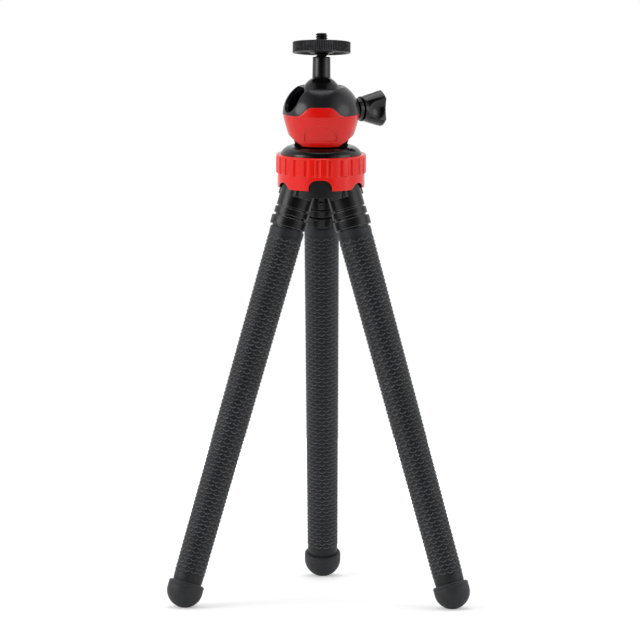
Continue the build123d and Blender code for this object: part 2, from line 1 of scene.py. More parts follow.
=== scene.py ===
"""Flexible leg tripod with a ball head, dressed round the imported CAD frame. Units are metres."""
from math import cos, pi, radians, sin

import bpy
import numpy as np
from mathutils import Matrix, Vector


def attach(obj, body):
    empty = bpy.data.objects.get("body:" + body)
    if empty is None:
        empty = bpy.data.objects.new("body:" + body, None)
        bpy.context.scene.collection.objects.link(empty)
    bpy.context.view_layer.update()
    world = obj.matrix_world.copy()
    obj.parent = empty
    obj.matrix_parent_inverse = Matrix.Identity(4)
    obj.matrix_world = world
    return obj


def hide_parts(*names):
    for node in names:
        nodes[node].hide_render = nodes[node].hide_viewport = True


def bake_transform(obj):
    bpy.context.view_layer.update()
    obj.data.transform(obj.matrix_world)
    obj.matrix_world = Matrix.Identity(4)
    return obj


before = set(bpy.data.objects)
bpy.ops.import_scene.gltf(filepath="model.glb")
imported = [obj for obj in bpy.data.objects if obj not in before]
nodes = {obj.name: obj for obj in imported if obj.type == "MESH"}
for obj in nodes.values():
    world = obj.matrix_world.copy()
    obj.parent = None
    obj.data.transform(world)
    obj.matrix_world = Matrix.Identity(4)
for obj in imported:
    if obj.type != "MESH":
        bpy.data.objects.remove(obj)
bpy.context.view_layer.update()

MM = 0.001
UP = Vector((0, 0, 1))

# Places shared with the CAD source
SPLAY = radians(18.0)
PIVOT_RADIUS = 11.5 * MM
LEG_LENGTH = 221.6 * MM
FOOT_RADIUS = 9.35 * MM
FOOT_FLAT = 0.3 * MM
SIDES = {"left": 210.0, "right": 330.0, "back": 90.0}       # each leg's direction from the hub, in degrees
FOOT_CIRCLE = PIVOT_RADIUS + LEG_LENGTH * sin(SPLAY)
PIVOT_HEIGHT = LEG_LENGTH * cos(SPLAY) + FOOT_RADIUS - FOOT_FLAT
AXIS_Y = -FOOT_CIRCLE / 4                                   # this centres the three feet on the origin
HOUSING_RISE = 17.8 * MM                                    # from the leg pivots up to the head's base
BALL_RISE = 25.2 * MM                                       # from the head's base up to the ball's centre
BALL_CENTRE = Vector((0, AXIS_Y, PIVOT_HEIGHT + HOUSING_RISE + BALL_RISE))
STEM_LEAN = radians(11.5)
STEM_UP = Vector((0, sin(STEM_LEAN), cos(STEM_LEAN)))

# Leg sleeve, measured down the leg from its hinge pivot
SLEEVE_START = 27.0 * MM
SLEEVE_TOP_RADIUS = 8.9 * MM
SLEEVE_FOOT_RADIUS = 7.7 * MM
FOOT_START = 217.5 * MM
FOOT_SOCKET = 4.9 * MM              # depth of the foot's socket, which the skin fills
SLEEVE_END = FOOT_START + FOOT_SOCKET
TAPER_END = FOOT_START + 5.0 * MM   # where the sleeve has its foot radius
BEND_COUNT = 3
BEND_PITCH = (FOOT_START - SLEEVE_START) / (BEND_COUNT + 1)
BENDS = [SLEEVE_START + BEND_PITCH * step for step in range(1, BEND_COUNT + 1)]
SEAMS = [SLEEVE_START, (BENDS[0] + BENDS[1]) / 2, (BENDS[1] + BENDS[2]) / 2, SLEEVE_END]
SKIN_BORE = 5.0 * MM


def leg_axes(azimuth):
    """A leg's pivot, and the directions down it, outwards from it and across it."""
    out = Vector((cos(radians(azimuth)), sin(radians(azimuth)), 0))
    pivot = Vector((0, AXIS_Y, PIVOT_HEIGHT)) + out * PIVOT_RADIUS
    down = out * sin(SPLAY) - UP * cos(SPLAY)
    outwards = out * cos(SPLAY) + UP * sin(SPLAY)
    return pivot, down, outwards, down.cross(outwards)


# Camera, fitted to the feet, the ring, the ball and the disc in the photograph
CAMERA_DISTANCE = 10.0
CAMERA_AZIMUTH = radians(1.012)
CAMERA_ELEVATION = radians(7.309)
CAMERA_ROLL = radians(0.168)
CAMERA_LENS = 1082.1                # in mm, for a sensor 36 mm wide
SENSOR_WIDTH = 36.0
NEAR_LIMIT = 0.05
FAR_LIMIT = 60.0
TARGET_HEIGHT = 0.14537
TARGET_SHIFT = -0.33 * MM           # towards the right of the picture


def place_camera():
    """A long lens far off, at the photograph's viewpoint."""
    level = Vector((sin(CAMERA_AZIMUTH), -cos(CAMERA_AZIMUTH), 0))
    back = level * cos(CAMERA_ELEVATION) + UP * sin(CAMERA_ELEVATION)
    upright = -level * sin(CAMERA_ELEVATION) + UP * cos(CAMERA_ELEVATION)
    sideways = Vector((cos(CAMERA_AZIMUTH), sin(CAMERA_AZIMUTH), 0))
    right = sideways * cos(CAMERA_ROLL) + upright * sin(CAMERA_ROLL)
    up = upright * cos(CAMERA_ROLL) - sideways * sin(CAMERA_ROLL)
    data = bpy.data.cameras.new("camera")
    data.lens = CAMERA_LENS
    data.sensor_width = SENSOR_WIDTH
    data.clip_start = NEAR_LIMIT
    data.clip_end = FAR_LIMIT
    camera = bpy.data.objects.new("camera", data)
    bpy.context.scene.collection.objects.link(camera)
    target = Vector((0, AXIS_Y, TARGET_HEIGHT)) + right * TARGET_SHIFT
    turn = Matrix((right, up, back)).transposed().to_4x4()
    camera.matrix_world = Matrix.Translation(target + back * CAMERA_DISTANCE) @ turn
    bpy.context.scene.camera = camera


place_camera()


# Materials
def linear(colour):
    """A colour written as screen values from 0 to 255, as linear values by the standard screen curve."""
    made = []
    for value in colour:
        value = value / 255
        made.append(value / 12.92 if value <= 0.04045 else ((value + 0.055) / 1.055) ** 2.4)
    return (*made, 1.0)


class Tree:
    """A small helper to wire up one material's nodes."""

    def __init__(self, name):
        self.material = bpy.data.materials.new(name)
        self.material.use_nodes = True
        self.tree = self.material.node_tree
        self.shader = self.tree.nodes["Principled BSDF"]
        self.place = self.node("ShaderNodeTexCoord").outputs["Object"]

    def node(self, kind, **settings):
        """Add a node with its settings."""
        made = self.tree.nodes.new(kind)
        for key, value in settings.items():
            setattr(made, key, value)
        return made

    def join(self, source, target):
        """Link one socket to another."""
        self.tree.links.new(source, target)

    def noise(self, scale, detail, roughness=0.55, stretch=None):
        """A noise pattern in the object's own space; scale is in features per metre."""
        made = self.node("ShaderNodeTexNoise")
        made.inputs["Scale"].default_value = scale
        made.inputs["Detail"].default_value = detail
        made.inputs["Roughness"].default_value = roughness
        place = self.place
        if stretch:
            mapping = self.node("ShaderNodeMapping")
            mapping.inputs["Scale"].default_value = stretch
            self.join(self.place, mapping.inputs["Vector"])
            place = mapping.outputs["Vector"]
        self.join(place, made.inputs["Vector"])
        return made.outputs["Fac"]

    def spread(self, source, low, high, start=0.3, end=0.7):
        """Map the range from start to end, by default the middle of a noise, to that from low to high."""
        made = self.node("ShaderNodeMapRange")
        made.inputs["From Min"].default_value = start
        made.inputs["From Max"].default_value = end
        made.inputs["To Min"].default_value = low
        made.inputs["To Max"].default_value = high
        self.join(source, made.inputs["Value"])
        return made.outputs["Result"]

    def math(self, kind, first, second):
        """Work out one value from two, each a number or made by a node."""
        made = self.node("ShaderNodeMath", operation=kind)
        for source, socket in ((first, made.inputs[0]), (second, made.inputs[1])):
            if isinstance(source, (int, float)):
                socket.default_value = source
            else:
                self.join(source, socket)
        return made.outputs["Value"]

    def blend(self, factor, first, second):
        """Mix two colours, each written out or made by a node."""
        made = self.node("ShaderNodeMix", data_type="RGBA")
        # The node's sockets for colours stand behind those for numbers and vectors
        self.join(factor, made.inputs[0])
        for source, socket in ((first, made.inputs[6]), (second, made.inputs[7])):
            if isinstance(source, tuple):
                socket.default_value = source
            else:
                self.join(source, socket)
        return made.outputs[2]

    def edges(self):
        """One near the edges, where wear and painted edge highlights go, and zero on open faces."""
        rounded = self.node("ShaderNodeBevel", samples=EDGE_SAMPLES)
        rounded.inputs["Radius"].default_value = EDGE_RADIUS
        flat = self.node("ShaderNodeNewGeometry")
        dot = self.node("ShaderNodeVectorMath", operation="DOT_PRODUCT")
        self.join(rounded.outputs["Normal"], dot.inputs[0])
        self.join(flat.outputs["Normal"], dot.inputs[1])
        return self.spread(dot.outputs["Value"], 1.0, 0.0, *EDGE_RANGE)

    def bump(self, height, distance):
        """A normal that follows a height."""
        made = self.node("ShaderNodeBump")
        made.inputs["Distance"].default_value = distance
        self.join(height, made.inputs["Height"])
        return made.outputs["Normal"]


# Worn edges and painted edge highlights: how far from an edge they reach, and the cosines between rounded and
# flat faces that count
EDGE_SAMPLES = 4
EDGE_RADIUS = 0.35 * MM
EDGE_RANGE = (0.94, 0.998)

# Patterns of the hard finishes: features per metre, levels of detail and how rough these are
MOTTLE_NOISE = (90, 4)
DUST_NOISE = (700, 6, 0.7)
WEAR_AND_HIGHLIGHT_NOISE = (420, 5, 0.65)
GLOSS_NOISE = (260, 4, 0.6)
GRAIN_DETAIL = (2, 0.5)
DUST_RANGE = (0.52, 0.75)
DUST_COLOUR = (128, 128, 130)
WEAR_AND_HIGHLIGHT_RANGE = (0.35, 0.65)
LEAST_WEAR_AND_HIGHLIGHT = 0.2
GLOSS_SPREAD = 0.05


def finish(name, colour, *, roughness, mottle, grain, grain_depth, wear_and_highlight=0.0, wear_and_highlight_colour=None, dust=0.0,
           specular=0.5, metallic=0.0, sheen=0.0, brushed=None):
    """A moulded, painted or metal finish: mottled colour, fine grain, uneven gloss and pale edges: wear on
    most finishes, a painted highlight on the black bands.

    Grain is in features per metre and its depth in mm; brushed stretches the grain and the gloss.
    """
    t = Tree(name)
    base = linear(colour)
    dark = tuple(c * (1 - mottle) for c in base[:3]) + (1.0,)
    light = tuple(min(1.0, c * (1 + mottle)) for c in base[:3]) + (1.0,)
    tone = t.blend(t.spread(t.noise(*MOTTLE_NOISE), 0.0, 1.0), dark, light)
    if dust:
        speckle = t.spread(t.noise(*DUST_NOISE), 0.0, dust, *DUST_RANGE)
        tone = t.blend(speckle, tone, linear(DUST_COLOUR))
    if wear_and_highlight:
        patchy = t.spread(t.noise(*WEAR_AND_HIGHLIGHT_NOISE), LEAST_WEAR_AND_HIGHLIGHT, 1.0, *WEAR_AND_HIGHLIGHT_RANGE)
        edge = t.math("MULTIPLY", t.edges(), patchy)
        tone = t.blend(t.math("MULTIPLY", edge, wear_and_highlight), tone, linear(wear_and_highlight_colour))
    t.join(tone, t.shader.inputs["Base Color"])
    uneven = t.noise(*GLOSS_NOISE, stretch=brushed)
    t.join(t.spread(uneven, roughness - GLOSS_SPREAD, roughness + GLOSS_SPREAD), t.shader.inputs["Roughness"])
    fine = t.noise(grain, *GRAIN_DETAIL, stretch=brushed)
    t.join(t.bump(fine, grain_depth * MM), t.shader.inputs["Normal"])
    t.shader.inputs["Specular IOR Level"].default_value = specular
    t.shader.inputs["Metallic"].default_value = metallic
    t.shader.inputs["Sheen Weight"].default_value = sheen
    return t.material


# Leg rubber, whose colours follow the relief kept on the mesh, from 0 in the hollows to 1 on the lips; they
# paint shade into the hollows and a highlight onto the lips
# The darkest rubber colour: painted shade in the hollows, and also the random dark clouds
DARK_AND_SHADE_COLOUR = (6, 7, 9)
FACE_COLOUR = (30, 33, 38)
# The painted highlight on the scales' lips
LIP_HIGHLIGHT_COLOUR = (104, 108, 116)
GRIT_COLOUR = (110, 112, 114)
# Relief over which the painted shade in the hollows fades into the face colour
HOLLOW_SHADE_RANGE = (0.12, 0.44)
LIP_HIGHLIGHT_RANGE = (0.7, 1.0)
LIP_HIGHLIGHT_NOISE = (160, 4)
LEAST_LIP_HIGHLIGHT = 0.45
CLOUD_NOISE = (45, 5, 0.6)
CLOUD_SHARE = 0.30
GRIT_NOISE = (1100, 4, 0.7)
GRIT_RANGE = (0.55, 0.8)
GRIT_SHARE = 0.22
RUBBER_ROUGHNESS = 0.5
RUBBER_GLOSS_NOISE = (300, 4)
RUBBER_GLOSS_SPREAD = 0.07
RUBBER_GRAIN_NOISE = (3200, 3)
RUBBER_GRAIN_DEPTH = 0.02 * MM
RUBBER_SPECULAR = 0.3
RUBBER_SHEEN = 0.18
RUBBER_SHEEN_ROUGHNESS = 0.4


def relief_rubber(name):
    """Leg rubber: the relief stored on the mesh paints shade into the hollows and a highlight onto the lips.
    """
    t = Tree(name)
    relief = t.node("ShaderNodeAttribute", attribute_name="relief").outputs["Fac"]
    # Painted shade: low relief darkens the hollows
    tone = t.blend(t.spread(relief, 0.0, 1.0, *HOLLOW_SHADE_RANGE), linear(DARK_AND_SHADE_COLOUR), linear(FACE_COLOUR))
    # Painted highlight: high relief turns the lips pale, in patches
    on_lip = t.spread(relief, 0.0, 1.0, *LIP_HIGHLIGHT_RANGE)
    lip_highlight = t.math("MULTIPLY", on_lip, t.spread(t.noise(*LIP_HIGHLIGHT_NOISE), LEAST_LIP_HIGHLIGHT, 1.0))
    tone = t.blend(lip_highlight, tone, linear(LIP_HIGHLIGHT_COLOUR))
    cloud = t.spread(t.noise(*CLOUD_NOISE), 0.0, CLOUD_SHARE)
    tone = t.blend(cloud, tone, linear(DARK_AND_SHADE_COLOUR))
    speckle = t.spread(t.noise(*GRIT_NOISE), 0.0, GRIT_SHARE, *GRIT_RANGE)
    tone = t.blend(speckle, tone, linear(GRIT_COLOUR))
    t.join(tone, t.shader.inputs["Base Color"])
    gloss_from = RUBBER_ROUGHNESS - RUBBER_GLOSS_SPREAD
    gloss_to = RUBBER_ROUGHNESS + RUBBER_GLOSS_SPREAD
    t.join(t.spread(t.noise(*RUBBER_GLOSS_NOISE), gloss_from, gloss_to), t.shader.inputs["Roughness"])
    t.join(t.bump(t.noise(*RUBBER_GRAIN_NOISE), RUBBER_GRAIN_DEPTH), t.shader.inputs["Normal"])
    t.shader.inputs["Specular IOR Level"].default_value = RUBBER_SPECULAR
    t.shader.inputs["Sheen Weight"].default_value = RUBBER_SHEEN
    t.shader.inputs["Sheen Roughness"].default_value = RUBBER_SHEEN_ROUGHNESS
    return t.material


red = finish("red_ring", (240, 20, 4), roughness=0.16, mottle=0.05, grain=2600, grain_depth=0.004,
             wear_and_highlight=0.5, wear_and_highlight_colour=(255, 120, 100), specular=0.45)
red_shell = finish("red_shell", (226, 16, 4), roughness=0.15, mottle=0.04, grain=2600, grain_depth=0.004,
                   wear_and_highlight=0.5, wear_and_highlight_colour=(250, 120, 104), specular=0.45)
grey = finish("grey_satin", (28, 28, 32), roughness=0.22, mottle=0.08, grain=3000, grain_depth=0.006,
              wear_and_highlight=0.5, wear_and_highlight_colour=(120, 120, 124), specular=0.42)
black = finish("black_satin", (13, 13, 15), roughness=0.3, mottle=0.15, grain=2600, grain_depth=0.010,
               wear_and_highlight=0.8, wear_and_highlight_colour=(130, 130, 134), dust=0.02, specular=0.35)
black_rough = finish("black_cast", (22, 22, 24), roughness=0.38, mottle=0.2, grain=1600, grain_depth=0.02,
                     wear_and_highlight=0.6, wear_and_highlight_colour=(96, 96, 100), dust=0.03, specular=0.4)
# On the bands and ferrules the edge wear is strong and pale: it paints a highlight along their rims
bands_with_painted_highlight = finish("black_bands_painted_highlight", (15, 15, 17), roughness=0.3, mottle=0.15, grain=2600, grain_depth=0.010,
                wear_and_highlight=1.0, wear_and_highlight_colour=(170, 170, 176), dust=0.02, specular=0.35)
inner_black = finish("inner_black", (3, 3, 4), roughness=0.6, mottle=0.2, grain=1600, grain_depth=0.03,
                     wear_and_highlight=0.1, wear_and_highlight_colour=(30, 30, 32), specular=0.02)
gloss = finish("black_gloss", (10, 10, 12), roughness=0.16, mottle=0.1, grain=2200, grain_depth=0.004,
               wear_and_highlight=0.3, wear_and_highlight_colour=(70, 70, 74), specular=0.45)
stem_black = finish("stem_black", (9, 9, 10), roughness=0.24, mottle=0.1, grain=2200, grain_depth=0.004,
                    wear_and_highlight=0.3, wear_and_highlight_colour=(90, 90, 94), specular=0.45)
coated = finish("black_coated_metal", (24, 24, 26), roughness=0.36, mottle=0.15, grain=2800,
                grain_depth=0.012, wear_and_highlight=0.6, wear_and_highlight_colour=(120, 120, 124), dust=0.04, specular=0.25)
white = finish("white_low_friction", (214, 214, 210), roughness=0.5, mottle=0.04, grain=2000,
               grain_depth=0.01)
steel = finish("zinc_steel", (168, 168, 172), roughness=0.32, mottle=0.1, grain=2400, grain_depth=0.006,
               wear_and_highlight=0.3, wear_and_highlight_colour=(220, 220, 224), metallic=1.0, brushed=(1, 1, 6))
dark_steel = finish("dark_steel", (52, 52, 54), roughness=0.35, mottle=0.12, grain=2400, grain_depth=0.008,
                    wear_and_highlight=0.4, wear_and_highlight_colour=(120, 120, 124), metallic=1.0, brushed=(1, 1, 6))
aluminium = finish("soft_aluminium", (190, 190, 194), roughness=0.4, mottle=0.08, grain=2400,
                   grain_depth=0.008, metallic=1.0, brushed=(1, 1, 0.1))
pad = finish("grip_pad", (20, 20, 22), roughness=0.75, mottle=0.15, grain=1500, grain_depth=0.06,
             dust=0.08, specular=0.15, sheen=0.08)
foot_rubber = finish("foot_rubber", (34, 36, 40), roughness=0.55, mottle=0.12, grain=2200, grain_depth=0.02,
                     dust=0.06, specular=0.35, sheen=0.1)
leg_rubber = relief_rubber("leg_rubber")


# Lights, floor and backdrop
AMBIENT = 0.6                       # what matt surfaces get from the room
DARK_WALL = 0.04                    # what glossy surfaces mirror of the room in front and above
BRIGHT_WALL = 0.9                   # and of its sides and back
SIDE_WALL_RANGE = (0.3, 0.85)       # where the side walls brighten, as a share of the way to the side
BACK_WALL_RANGE = (0.0, 0.6)
LIT_HEIGHT = 0.15                   # the height that the lamps point at
# Each lamp's name, place, width and level
LAMPS = (("key", (-1.5, -0.65, 0.75), 1.1, 0.36),
         ("fill", (1.5, -0.45, 0.55), 1.1, 0.16),
         ("top", (0.0, 0.25, 1.5), 1.0, 0.26))
FLOOR_RADIUS = 0.6
FLOOR_CORNERS = 96
FLOOR_TONE = 0.93
FLOOR_GLOW = (0.3, 1.0)             # lift towards white, at the start and end of the range below
FLOOR_GLOW_RANGE = (0.13, 0.5)      # in metres from the middle


def light_scene():
    """A room that is white at its sides and back and dark in front and above, with broad side lamps."""
    world = bpy.data.worlds.new("studio")
    bpy.context.scene.world = world
    world.use_nodes = True
    tree = world.node_tree
    tree.nodes.clear()

    def add(kind, **settings):
        made = tree.nodes.new(kind)
        for key, value in settings.items():
            setattr(made, key, value)
        return made

    def plain_light(strength):
        made = add("ShaderNodeBackground")
        made.inputs["Color"].default_value = (1, 1, 1, 1)
        made.inputs["Strength"].default_value = strength
        return made

    def larger(first, second):
        made = add("ShaderNodeMath", operation="MAXIMUM")
        tree.links.new(first, made.inputs[0])
        tree.links.new(second, made.inputs[1])
        return made.outputs[0]

    def mix(factor, first, second):
        made = add("ShaderNodeMixShader")
        tree.links.new(factor, made.inputs["Fac"])
        tree.links.new(first, made.inputs[1])
        tree.links.new(second, made.inputs[2])
        return made.outputs[0]

    direction = add("ShaderNodeSeparateXYZ")
    tree.links.new(add("ShaderNodeTexCoord").outputs["Generated"], direction.inputs[0])
    sideways = add("ShaderNodeMath", operation="ABSOLUTE")
    tree.links.new(direction.outputs["X"], sideways.inputs[0])
    walls = []
    for source, (start, full) in ((sideways.outputs[0], SIDE_WALL_RANGE),
                                  (direction.outputs["Y"], BACK_WALL_RANGE)):
        wall = add("ShaderNodeMapRange", interpolation_type="SMOOTHSTEP")
        for socket, value in (("From Min", start), ("From Max", full), ("To Min", DARK_WALL),
                              ("To Max", BRIGHT_WALL)):
            wall.inputs[socket].default_value = value
        tree.links.new(source, wall.inputs["Value"])
        walls.append(wall.outputs["Result"])
    room = plain_light(1.0)
    tree.links.new(larger(*walls), room.inputs["Strength"])
    path = add("ShaderNodeLightPath")
    shiny = larger(path.outputs["Is Glossy Ray"], path.outputs["Is Transmission Ray"])
    lit = mix(shiny, plain_light(AMBIENT).outputs[0], room.outputs[0])
    seen = mix(path.outputs["Is Camera Ray"], lit, plain_light(1.0).outputs[0])
    tree.links.new(seen, add("ShaderNodeOutputWorld").inputs["Surface"])
    middle = Vector((0, AXIS_Y, LIT_HEIGHT))
    for name, spot, width, level in LAMPS:
        spot = Vector(spot)
        away = spot - middle
        data = bpy.data.lights.new(name, "AREA")
        data.shape = "DISK"
        data.size = width
        data.energy = level * pi * pi * away.length_squared
        lamp = bpy.data.objects.new(name, data)
        lamp.matrix_world = Matrix.Translation(spot) @ away.to_track_quat("Z", "Y").to_matrix().to_4x4()
        bpy.context.scene.collection.objects.link(lamp)


def lay_floor():
    """A plain pale round floor that keeps the feet's shadows and fades into the white room."""
    mesh = bpy.data.meshes.new("floor")
    turns = [2 * pi * step / FLOOR_CORNERS for step in range(FLOOR_CORNERS)]
    rim = [(FLOOR_RADIUS * cos(turn), FLOOR_RADIUS * sin(turn), 0) for turn in turns]
    mesh.from_pydata(rim, [], [tuple(range(FLOOR_CORNERS))])
    floor = bpy.data.objects.new("floor", mesh)
    bpy.context.scene.collection.objects.link(floor)
    t = Tree("pale_floor")
    t.shader.inputs["Base Color"].default_value = (FLOOR_TONE, FLOOR_TONE, FLOOR_TONE, 1)
    t.shader.inputs["Roughness"].default_value = 0.9
    t.shader.inputs["Specular IOR Level"].default_value = 0.1
    t.shader.inputs["Emission Color"].default_value = (1, 1, 1, 1)
    length = t.node("ShaderNodeVectorMath", operation="LENGTH")
    t.join(t.place, length.inputs[0])
    lift = t.spread(length.outputs["Value"], *FLOOR_GLOW, *FLOOR_GLOW_RANGE)
    path = t.node("ShaderNodeLightPath")
    t.join(t.math("MULTIPLY", lift, path.outputs["Is Camera Ray"]), t.shader.inputs["Emission Strength"])
    mesh.materials.append(t.material)


bpy.context.scene.view_settings.view_transform = "Standard"
light_scene()
lay_floor()


# The CAD nodes that stay
WELD_DISTANCE = 0.01 * MM
BEVEL_ANGLE = radians(32.0)
BEVEL_SEGMENTS = 2
NORMAL_WEIGHT = 50


def dress(name, material, bevel):
    """Give a CAD node its material, and soften its edges with modifiers; the bevel's width is in mm."""
    node = nodes[name]
    node.data.materials.clear()
    node.data.materials.append(material)
    weld = node.modifiers.new("weld", "WELD")
    weld.merge_threshold = WELD_DISTANCE
    if bevel:
        round_off = node.modifiers.new("bevel", "BEVEL")
        round_off.width = bevel * MM
        round_off.segments = BEVEL_SEGMENTS
        round_off.limit_method = "ANGLE"
        round_off.angle_limit = BEVEL_ANGLE
        round_off.harden_normals = False
    normals = node.modifiers.new("normals", "WEIGHTED_NORMAL")
    normals.weight = NORMAL_WEIGHT
    normals.keep_sharp = True


for name, material, bevel in (
        ("hub_body", black_rough, 0.25), ("hub_screws", steel, 0.15), ("hinge_pins", steel, 0.15),
        ("hub_flange", gloss, 0.2), ("grip_ring", red, 0.15), ("hub_stud", steel, 0.1),
        ("swivel_washer", inner_black, 0.1), ("lower_shell", red_shell, 0.12), ("upper_shell", grey, 0.15),
        ("head_core", inner_black, 0.2), ("shell_screws", steel, 0.1), ("ball_seat", white, 0.1),
        ("pressure_shoe", white, 0.1), ("clamp_screw", steel, 0.1), ("clamp_bush", gloss, 0.25),
        ("clamp_knob", gloss, 0.3), ("ball", gloss, 0.1), ("stem", stem_black, 0.2),
        ("disc_insert", dark_steel, 0.1), ("lock_disc", coated, 0.0)):
    dress(name, material, bevel)
for side in SIDES:
    for name, material, bevel in (("collar", black, 0.3), ("band", bands_with_painted_highlight, 0.35), ("ferrule", bands_with_painted_highlight, 0.45)):
        dress(f"{side}_{name}", material, bevel)
    for index in range(BEND_COUNT + 1):
        dress(f"{side}_core_{index + 1}", aluminium, 0.1)


# Mesh helpers
AXIS_RADIUS = 0.01                  # in mm, a ring this small closes a piece at its axis


def add_piece(name, points, faces, material, sharp_angle=None):
    """A smooth-shaded mesh object from points and faces."""
    mesh = bpy.data.meshes.new(name)
    mesh.from_pydata(points, [], faces)
    mesh.polygons.foreach_set("use_smooth", [True] * len(mesh.polygons))
    if sharp_angle:
        mesh.set_sharp_from_angle(angle=radians(sharp_angle))
    mesh.materials.append(material)
    mesh.validate()
    mesh.update()
    piece = bpy.data.objects.new(name, mesh)
    bpy.context.scene.collection.objects.link(piece)
    return piece


def ring_faces(rings, around, closed=True):
    """Faces between neighbouring rings of points; a closed run joins the last ring to the first."""
    faces = []
    for row in range(rings if closed else rings - 1):
        first = row * around
        second = ((row + 1) % rings) * around
        for step in range(around):
            after = (step + 1) % around
            faces.append((first + step, first + after, second + after, second + step))
    return faces


def lathe(name, origin, axis, across, outline, material, around, sharp_angle):
    """A turned piece from points of radius and height along the axis."""
    side = axis.cross(across)
    points = []
    for radius, height in outline:
        for step in range(around):
            angle = 2 * pi * step / around
            points.append(origin + axis * height + (across * cos(angle) + side * sin(angle)) * radius)
    return add_piece(name, points, ring_faces(len(outline), around), material, sharp_angle)


def in_metres(outline):
    """An outline written in mm, in metres."""
    return [(radius * MM, height * MM) for radius, height in outline]


def smoothstep(value):
    """A smooth rise from 0 to 1."""
    value = np.clip(value, 0.0, 1.0)
    return value * value * (3 - 2 * value)


def ramp(value, start, run):
    """A smooth rise from 0 at start to 1 a run further on."""
    return smoothstep((value - start) / run)


# Scales on the leg sleeves, in mm
SCALES_AROUND = 12
SCALE_PITCH = 2 * pi / SCALES_AROUND
SCALE_ROW = 2.1                     # between rows; every other row is shifted by half a scale
SCALE_REACH = 2.45                  # from a scale's centre to its lip
SCALE_GIRTH = 8.3                   # the radius at which the scales are drawn
FIRST_ROW = 32.0                    # down the leg
LAST_ROW = 212.0
CUFF_EDGE = 31.0                    # where the smooth cuff under the ferrule ends
CUFF_RUN = 0.6
ROWS_THAT_REACH = (2, 1, 0, -1)     # the rows whose scales can cover a place, lower rows first

# Heights of the relief, from 0 to 1, and starts and runs of its rises in shares of a scale's reach
PLAIN_RELIEF = 0.50
CUFF_RELIEF = 0.72
SCALE_RELIEF = 0.42
LIP_RELIEF = 0.58
LIP_OUTWARDS = (0.45, 0.35)
LIP_DOWNWARDS = (-0.25, 0.65)
COVER_RUN = 0.20
GROOVE_RELIEF = 0.85
GROOVE_DOWNWARDS = (0.55, 0.35)
GROOVE_OUTWARDS = (1.0, 0.3)

# Depth of the relief on the sleeve, in metres
RELIEF_DEPTH = 0.5 * MM
SCALE_PROUD = 0.2 * MM              # the scales' tops stand this far over the plain sleeve
TUCK_RUN = 1.5 * MM                 # over this length the skin draws in to enter the foot
EDGE_DROP = 0.4 * MM                # the skin's top edge is rounded down by this much
EDGE_RUN = 0.5 * MM

# Fineness of the skins' meshes
SKIN_COLUMNS = SCALES_AROUND * 12
SKIN_ROW = 0.34 * MM
BORE_ROW = 3 * MM
BORE_RELIEF = 0.5


def scale_relief(place, angle):
    """Height of the scale pattern, from 0 to 1, at places down the leg in mm and angles round it."""
    height = np.full(place.shape, PLAIN_RELIEF)
    nearest = np.floor((place - FIRST_ROW) / SCALE_ROW)
    for offset in ROWS_THAT_REACH:
        row = nearest + offset
        centre = FIRST_ROW + row * SCALE_ROW
        shift = np.mod(row, 2) * SCALE_PITCH / 2
        around = (np.mod(angle - shift + SCALE_PITCH / 2, SCALE_PITCH) - SCALE_PITCH / 2) * SCALE_GIRTH
        along = place - centre
        out = np.hypot(around, along) / SCALE_REACH
        rise = ramp(out, *LIP_OUTWARDS) * ramp(along / SCALE_REACH, *LIP_DOWNWARDS)
        form = SCALE_RELIEF + LIP_RELIEF * rise
        real = (centre >= FIRST_ROW) & (centre <= LAST_ROW)
        groove = GROOVE_RELIEF * ramp(np.clip(along / SCALE_REACH, 0, 1), *GROOVE_DOWNWARDS)
        beyond = height * (1 - groove * (1 - ramp(out, *GROOVE_OUTWARDS)))
        height = np.where(real & (out >= 1), beyond, height)
        cover = smoothstep((1 - out) / COVER_RUN)
        height = np.where(real & (out < 1), height * (1 - groove) * (1 - cover) + form * cover, height)
    cuff = smoothstep((CUFF_EDGE - place) / CUFF_RUN)
    return height * (1 - cuff) + CUFF_RELIEF * cuff


def sleeve_radius(place):
    """The plain sleeve's radius at a place down the leg."""
    share = (place - SLEEVE_START) / (TAPER_END - SLEEVE_START)
    return SLEEVE_TOP_RADIUS + share * (SLEEVE_FOOT_RADIUS - SLEEVE_TOP_RADIUS)


